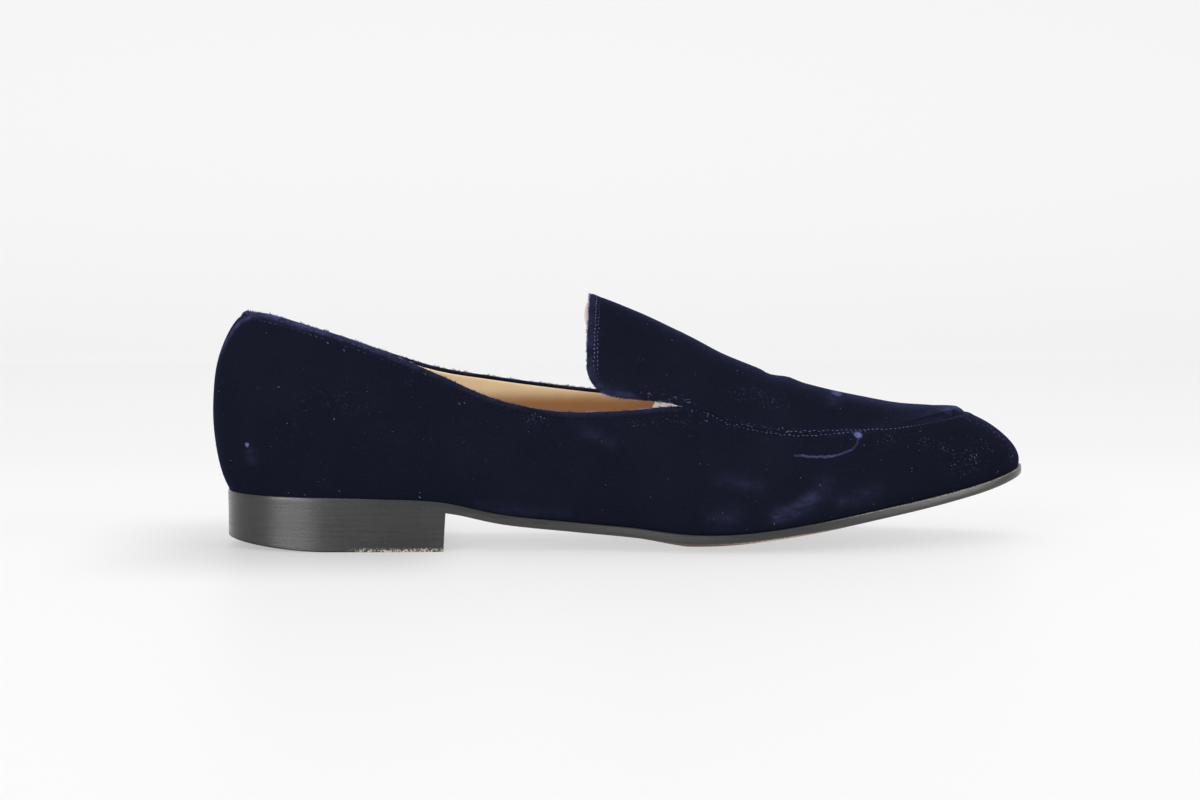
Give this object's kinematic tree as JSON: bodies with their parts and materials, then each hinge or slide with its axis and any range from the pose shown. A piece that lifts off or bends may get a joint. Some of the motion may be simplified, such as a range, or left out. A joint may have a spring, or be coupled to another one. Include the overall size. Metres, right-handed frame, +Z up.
{
  "type": "velvet slipper loafer",
  "caption": "Low slip-on shoe with a velvet upper, raised apron seam, plain tongue, thin painted sole and low block heel.",
  "frame": {"origin": "on the floor, under the middle of the shoe's bounding box", "axes": "+X from heel to toe, +Y to the inner (medial) side, +Z up"},
  "size_m": [0.2752, 0.0812, 0.0836],
  "materials": {
    "velvet": "navy silk velvet, short crushed nap",
    "sole": "leather with painted satin edge",
    "heel": "stacked block, painted satin",
    "sock": "smooth tan lining leather"
  },
  "bodies": {
    "root": {"upper": "velvet", "outsole": "sole", "heel": "heel", "insole": "sock"}
  },
  "joints": []
}
